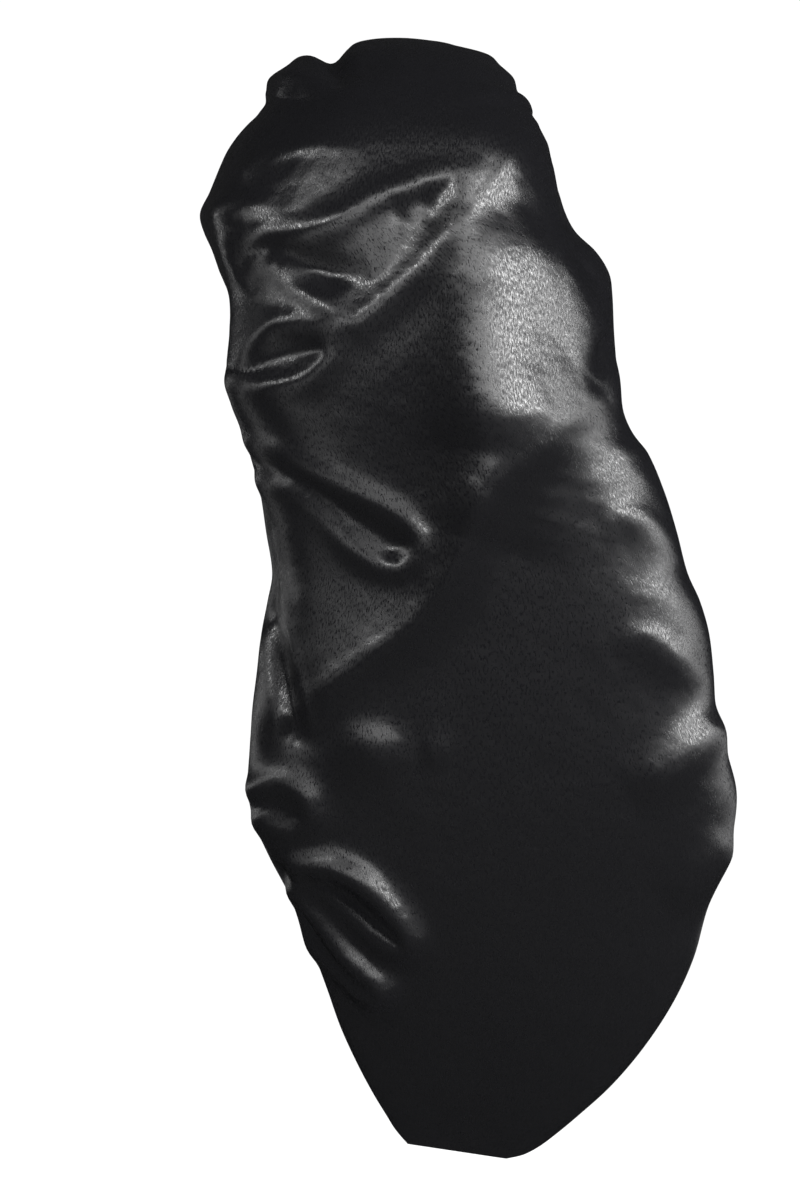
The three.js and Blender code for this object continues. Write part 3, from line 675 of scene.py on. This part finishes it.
STITCH_LINES = {"top": BAND["stitch_in"], "bottom": BAND["height"] - BAND["stitch_in"]}
GUIDE_STEPS = 720
turns = np.linspace(0, 2 * math.pi, GUIDE_STEPS, endpoint=False)
points, edges = [], []
for depth in STITCH_LINES.values():
    around = np.full(turns.shape, 2 * math.pi - math.acos(1 - 2 * depth / BAND["height"]))
    line = band_surface(turns, around)
    edges += [(len(points) + i, len(points) + (i + 1) % len(turns)) for i in range(len(turns))]
    points += line.tolist()
guide_mesh = bpy.data.meshes.new("stitch_guide")
guide_mesh.from_pydata(points, edges, [])
guide = bpy.data.objects.new("stitch_guide", guide_mesh)
bpy.context.collection.objects.link(guide)
stitcher = guide.modifiers.new("stitches", "NODES")
stitcher.node_group = stitch_tree(thread_material())
set_input(stitcher, "Pitch", 0.0032)
set_input(stitcher, "Stitch Length", 0.0024)
set_input(stitcher, "Thread Radius", 0.00025)
seen = guide.evaluated_get(bpy.context.evaluated_depsgraph_get())
stitches = bpy.data.objects.new("casing_stitches", bpy.data.meshes.new_from_object(seen))
bpy.context.collection.objects.link(stitches)
bpy.data.objects.remove(guide)
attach(stitches, "root")


# ---------------------------------------------------------------- floor
# A plain pale studio floor a little below the hem. In the satin's gloss it is painted dark, a painted
# darkening of its reflection. The bonnet is held up as a head holds it.

low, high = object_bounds()
FLOOR = {"below": 0.07, "half": 6.0}
z = low[2] - FLOOR["below"]
corners = [(sx * FLOOR["half"], sy * FLOOR["half"], z) for sx, sy in ((-1, -1), (1, -1), (1, 1), (-1, 1))]
floor_mesh = bpy.data.meshes.new("floor")
floor_mesh.from_pydata(corners, [], [(0, 1, 2, 3)])
floor = bpy.data.objects.new("floor", floor_mesh)
bpy.context.collection.objects.link(floor)
paint = bpy.data.materials.new("floor_paint")
paint.use_nodes = True
nodes, links = paint.node_tree.nodes, paint.node_tree.links
pale = nodes["Principled BSDF"]
pale.inputs["Base Color"].default_value = (0.96, 0.96, 0.96, 1)
pale.inputs["Roughness"].default_value = 0.9
pale.inputs["Specular IOR Level"].default_value = 0.0
# painted dark reflection: glossy rays, as from the satin, see this dark diffuse instead of the pale floor
dark = nodes.new("ShaderNodeBsdfDiffuse")
dark.inputs["Color"].default_value = (0.02, 0.02, 0.02, 1)
rays = nodes.new("ShaderNodeLightPath")
choose = nodes.new("ShaderNodeMixShader")
links.new(rays.outputs["Is Glossy Ray"], choose.inputs["Fac"])
links.new(pale.outputs["BSDF"], choose.inputs[1])
links.new(dark.outputs["BSDF"], choose.inputs[2])
links.new(choose.outputs["Shader"], nodes["Material Output"].inputs["Surface"])
floor.data.materials.append(paint)


# ---------------------------------------------------------------- light
# A large softbox high on the right and a smaller one high on the left, with a weak upright one on the right
# and a weak fill on the left at the height of the bonnet, in a pale room that the satin hardly mirrors.

world = bpy.data.worlds.new("studio")
bpy.context.scene.world = world
world.use_nodes = True
nodes, links = world.node_tree.nodes, world.node_tree.links
sky = nodes["Background"]
sky.inputs["Color"].default_value = (1, 1, 1, 1)
sky.inputs["Strength"].default_value = 1.05
dim = nodes.new("ShaderNodeBackground")
dim.inputs["Color"].default_value = (1, 1, 1, 1)
dim.inputs["Strength"].default_value = 0.02
rays = nodes.new("ShaderNodeLightPath")
choose = nodes.new("ShaderNodeMixShader")
links.new(rays.outputs["Is Glossy Ray"], choose.inputs["Fac"])
links.new(sky.outputs["Background"], choose.inputs[1])
links.new(dim.outputs["Background"], choose.inputs[2])
links.new(choose.outputs["Shader"], nodes["World Output"].inputs["Surface"])


def softbox(name, azimuth, elevation, distance, size, power):
    """An area light aimed at the middle of the bonnet. Its azimuth runs from straight behind to the right."""
    light = bpy.data.lights.new(name, "AREA")
    light.shape = "RECTANGLE"
    light.size, light.size_y = size
    light.energy = power
    lamp = bpy.data.objects.new(name, light)
    a, e = math.radians(azimuth), math.radians(elevation)
    way = Vector((-math.sin(a) * math.cos(e), math.cos(a) * math.cos(e), math.sin(e)))
    middle = (Vector(low) + Vector(high)) / 2
    lamp.location = middle + way * distance
    lamp.rotation_euler = way.to_track_quat("Z", "Y").to_euler()
    bpy.context.collection.objects.link(lamp)


softbox("key", azimuth=55, elevation=28, distance=2.4, size=(1.4, 0.75), power=92)
softbox("side", azimuth=72, elevation=4, distance=3.0, size=(0.5, 1.2), power=12)
softbox("left", azimuth=-46, elevation=36, distance=2.4, size=(0.8, 0.35), power=26)
softbox("fill", azimuth=-120, elevation=4, distance=3.0, size=(0.8, 0.8), power=6)


# ---------------------------------------------------------------- camera
# Level, straight behind the wearer, with a long lens.

LENS = 600.0
SENSOR = 36.0
PICTURE = 0.7875  # height of the picture at the bonnet
camera = bpy.data.cameras.new("camera")
camera.lens = LENS
camera.sensor_width = SENSOR
view = bpy.data.objects.new("camera", camera)
bpy.context.collection.objects.link(view)
nearest = cad_box[1][1] - 0.10
view.location = (0, nearest + PICTURE * LENS / SENSOR, cad_box[0][2] + 0.3685)
view.rotation_euler = (math.radians(90), 0, math.radians(180))
camera.clip_end = 100
bpy.context.scene.camera = view
bpy.context.scene.view_settings.view_transform = "Standard"
